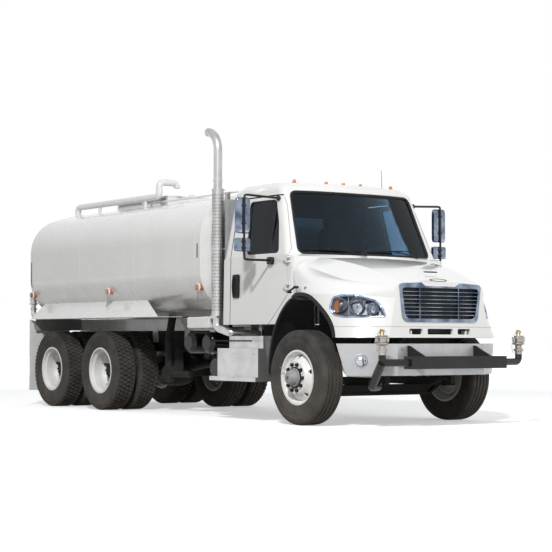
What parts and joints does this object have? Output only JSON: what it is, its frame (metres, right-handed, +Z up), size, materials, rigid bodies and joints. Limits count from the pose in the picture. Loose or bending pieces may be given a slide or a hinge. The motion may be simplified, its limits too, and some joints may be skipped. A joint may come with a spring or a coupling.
{
  "type": "tanker truck",
  "caption": "Three-axle water truck: conventional cab with tilting hood, opening doors, oval tank with top fill pipe and hatch, spray bars front and rear, steered front wheels.",
  "frame": {"origin": "on the ground under the middle of the truck's length and width", "axes": "+X towards the truck's left side, -Y towards its front, +Z up"},
  "size_m": [3.04, 7.9198, 3.4247],
  "materials": {
    "chassis_black": "satin",
    "engine_gray": "dull",
    "white_paint": "gloss",
    "tinted_glass": "gloss",
    "cab_trim": "matte",
    "silver_paint": "satin",
    "black_paint": "satin",
    "cast_fitting": "satin",
    "amber_lens": "gloss",
    "bright_steel": "satin",
    "aluminium_plate": "brushed",
    "cast_iron": "dull",
    "clear_lens": "gloss",
    "bright_chrome": "polished",
    "white_wheel": "gloss",
    "tyre_rubber": "matte"
  },
  "bodies": {
    "chassis": {"frame_rails": "chassis_black", "crossmembers": "chassis_black", "hood_hinges": "chassis_black", "front_axle": "chassis_black", "suspension": "chassis_black", "drive_axles": "chassis_black", "engine": "engine_gray", "cab_shell": "white_paint", "cab_glass": "tinted_glass", "cab_interior": "cab_trim", "front_bumper": "silver_paint", "front_spray_bar": "black_paint", "rear_spray_bar": "white_paint", "spray_heads": "cast_fitting", "water_tank": "white_paint", "tank_cradle": "white_paint", "tank_fenders": "white_paint", "manhole": "white_paint", "fill_pipe": "white_paint", "mud_flaps": "white_paint", "lamps": "amber_lens", "exhaust_stack": "bright_steel", "battery_steps": "aluminium_plate", "fuel_tank": "aluminium_plate", "air_tanks": "black_paint", "water_pump": "cast_iron", "rear_ladder": "white_paint", "cab_lips": "black_paint", "drain_port": "white_paint"},
    "hood": {"hood": "white_paint", "headlights": "clear_lens", "grille": "bright_chrome", "hood_lips": "black_paint"},
    "hatch": {"hatch_lid": "white_paint"},
    "door_left": {"door_left": "white_paint", "door_glass_left": "tinted_glass", "mirror_left": "black_paint"},
    "knuckle_left": {"knuckle_left": "chassis_black"},
    "front_wheel_left": {"front_rim_left": "white_wheel", "front_tyre_left": "tyre_rubber"},
    "front_dual_left": {"front_dual_rims_left": "white_wheel", "front_dual_tyres_left": "tyre_rubber"},
    "rear_dual_left": {"rear_dual_rims_left": "white_wheel", "rear_dual_tyres_left": "tyre_rubber"},
    "door_right": {"door_right": "white_paint", "door_glass_right": "tinted_glass", "mirror_right": "black_paint"},
    "knuckle_right": {"knuckle_right": "chassis_black"},
    "front_wheel_right": {"front_rim_right": "white_wheel", "front_tyre_right": "tyre_rubber"},
    "front_dual_right": {"front_dual_rims_right": "white_wheel", "front_dual_tyres_right": "tyre_rubber"},
    "rear_dual_right": {"rear_dual_rims_right": "white_wheel", "rear_dual_tyres_right": "tyre_rubber"}
  },
  "joints": [
    {"name": "steer_left", "type": "hinge", "parent": "chassis", "child": "knuckle_left", "pos_m": [0.93, -2.64, 0.513], "axis": [0, 0, 1], "range_deg": [-38, 38]},
    {"name": "front_wheel_left_spin", "type": "hinge", "parent": "knuckle_left", "child": "front_wheel_left", "pos_m": [1.04, -2.64, 0.513], "axis": [1, 0, 0], "continuous": true},
    {"name": "door_left_swing", "type": "hinge", "parent": "chassis", "child": "door_left", "pos_m": [1.1, -2.34, 1.5], "axis": [0, 0, -1], "range_deg": [0, 65]},
    {"name": "front_dual_left_spin", "type": "hinge", "parent": "chassis", "child": "front_dual_left", "pos_m": [0.8715, 1.75, 0.513], "axis": [1, 0, 0], "continuous": true},
    {"name": "rear_dual_left_spin", "type": "hinge", "parent": "chassis", "child": "rear_dual_left", "pos_m": [0.8715, 3.122, 0.513], "axis": [1, 0, 0], "continuous": true},
    {"name": "steer_right", "type": "hinge", "parent": "chassis", "child": "knuckle_right", "pos_m": [-0.93, -2.64, 0.513], "axis": [0, 0, 1], "range_deg": [-38, 38]},
    {"name": "front_wheel_right_spin", "type": "hinge", "parent": "knuckle_right", "child": "front_wheel_right", "pos_m": [-1.04, -2.64, 0.513], "axis": [1, 0, 0], "continuous": true},
    {"name": "door_right_swing", "type": "hinge", "parent": "chassis", "child": "door_right", "pos_m": [-1.1, -2.34, 1.5], "axis": [0, 0, 1], "range_deg": [0, 65]},
    {"name": "front_dual_right_spin", "type": "hinge", "parent": "chassis", "child": "front_dual_right", "pos_m": [-0.8715, 1.75, 0.513], "axis": [1, 0, 0], "continuous": true},
    {"name": "rear_dual_right_spin", "type": "hinge", "parent": "chassis", "child": "rear_dual_right", "pos_m": [-0.8715, 3.122, 0.513], "axis": [1, 0, 0], "continuous": true},
    {"name": "hood_tilt", "type": "hinge", "parent": "chassis", "child": "hood", "pos_m": [0, -3.58, 0.965], "axis": [1, 0, 0], "range_deg": [0, 65]},
    {"name": "hatch_lid_lift", "type": "hinge", "parent": "chassis", "child": "hatch", "pos_m": [0.364, 2.135, 2.8], "axis": [0, 1, 0], "range_deg": [0, 100]}
  ],
  "couplings": [
    {"joint": "steer_right", "follows": "steer_left", "ratio": 1}
  ]
}
